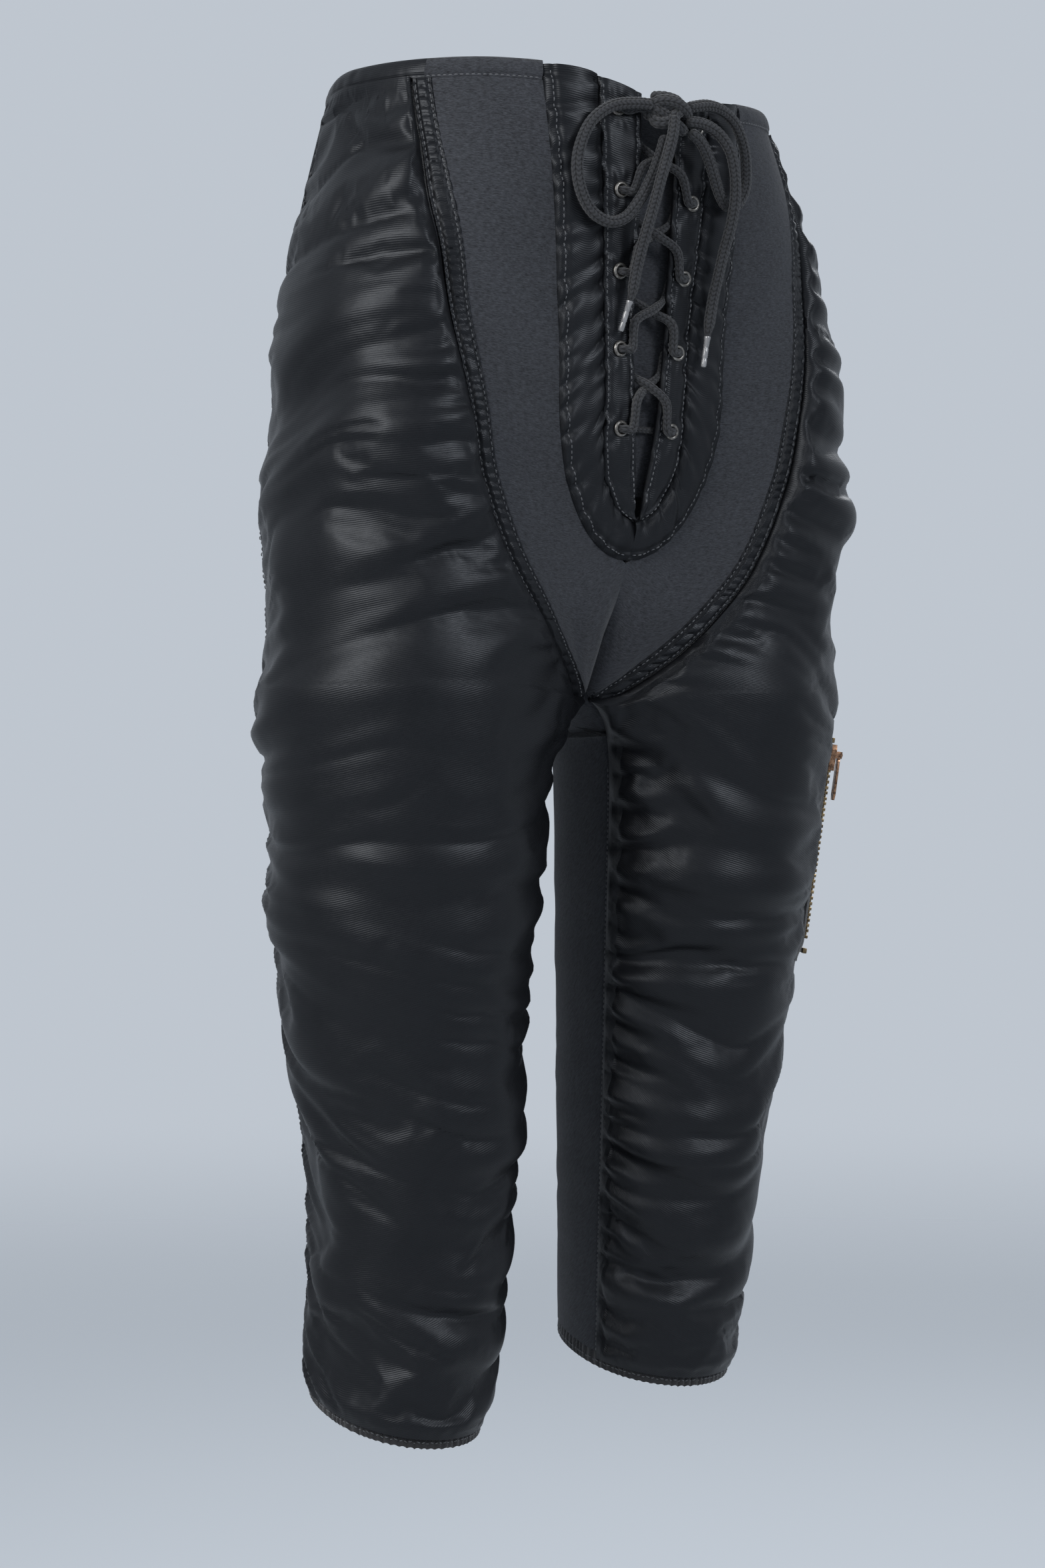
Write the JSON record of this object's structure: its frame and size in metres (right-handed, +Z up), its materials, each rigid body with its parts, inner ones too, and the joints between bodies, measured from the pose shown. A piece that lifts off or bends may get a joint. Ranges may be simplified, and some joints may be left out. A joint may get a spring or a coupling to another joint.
{
  "type": "padded impact shorts",
  "caption": "Below-knee padded impact shorts with quilted nylon thigh pads, stretch felt panels, a lace-up fly and a short side zip",
  "frame": {"origin": "centre of the waist opening, at the level of its top edge", "axes": "+Z up towards the wearer's head, -Y out of the front, +X to the wearer's left"},
  "size_m": [0.3622, 0.2369, 0.7342],
  "materials": {
    "pad_nylon": "satin ribbed nylon, puckered",
    "stretch_felt": "brushed heathered stretch felt",
    "lining": "matte brushed lining",
    "wadding": "soft white wadding",
    "elastic": "woven tape and gathered elastic",
    "lace": "matte herringbone braid",
    "lace_tip": "clear shrunk tip",
    "eyelet_metal": "antique silver, worn",
    "zip_metal": "antique brass, dull",
    "slider_metal": "copper-brown, burnished"
  },
  "bodies": {
    "garment": {"thigh_pad_shell_right": "pad_nylon", "thigh_pad_wadding_right": "wadding", "thigh_pad_lining_right": "lining", "front_yoke_right": "stretch_felt", "back_panel_right": "stretch_felt", "seam_band_right": "pad_nylon", "hem_elastic_right": "elastic", "waist_binding_yoke_right": "stretch_felt", "waist_binding_pad_right": "pad_nylon", "waist_binding_back_right": "stretch_felt", "fly_band_right": "pad_nylon", "placket_right": "pad_nylon", "lace_run_right": "lace", "lace_loop_right": "lace", "lace_tail_right": "lace", "aglet_right": "lace_tip", "eyelet_right_1": "eyelet_metal", "eyelet_right_2": "eyelet_metal", "eyelet_right_3": "eyelet_metal", "eyelet_right_4": "eyelet_metal", "eyelet_right_5": "eyelet_metal", "thigh_pad_shell_left": "pad_nylon", "thigh_pad_wadding_left": "wadding", "thigh_pad_lining_left": "lining", "front_yoke_left": "stretch_felt", "back_panel_left": "stretch_felt", "seam_band_left": "pad_nylon", "hem_elastic_left": "elastic", "waist_binding_yoke_left": "stretch_felt", "waist_binding_pad_left": "pad_nylon", "waist_binding_back_left": "stretch_felt", "fly_band_left": "pad_nylon", "placket_left": "pad_nylon", "lace_run_left": "lace", "lace_loop_left": "lace", "lace_tail_left": "lace", "aglet_left": "lace_tip", "eyelet_left_1": "eyelet_metal", "eyelet_left_2": "eyelet_metal", "eyelet_left_3": "eyelet_metal", "eyelet_left_4": "eyelet_metal", "eyelet_left_5": "eyelet_metal", "tongue": "stretch_felt", "lace_knot": "lace", "zip_tape_front": "elastic", "zip_teeth_front": "zip_metal", "zip_top_stop_front": "zip_metal", "zip_tape_back": "elastic", "zip_teeth_back": "zip_metal", "zip_top_stop_back": "zip_metal", "zip_bottom_stop": "zip_metal"},
    "zip_slider": {"zip_slider": "slider_metal"},
    "zip_pull": {"zip_pull": "slider_metal"}
  },
  "joints": [
    {"name": "zip_slider_travel", "type": "slide", "parent": "garment", "child": "zip_slider", "axis": [-0.0953, 0.0999, -0.9904], "range_m": [0, 0.1015]},
    {"name": "zip_pull_swing", "type": "hinge", "parent": "zip_slider", "child": "zip_pull", "pos_m": [0.17219, -0.04612, -0.36044], "axis": [-0.4834, -0.8744, -0.0416], "range_deg": [-5, 165]}
  ]
}
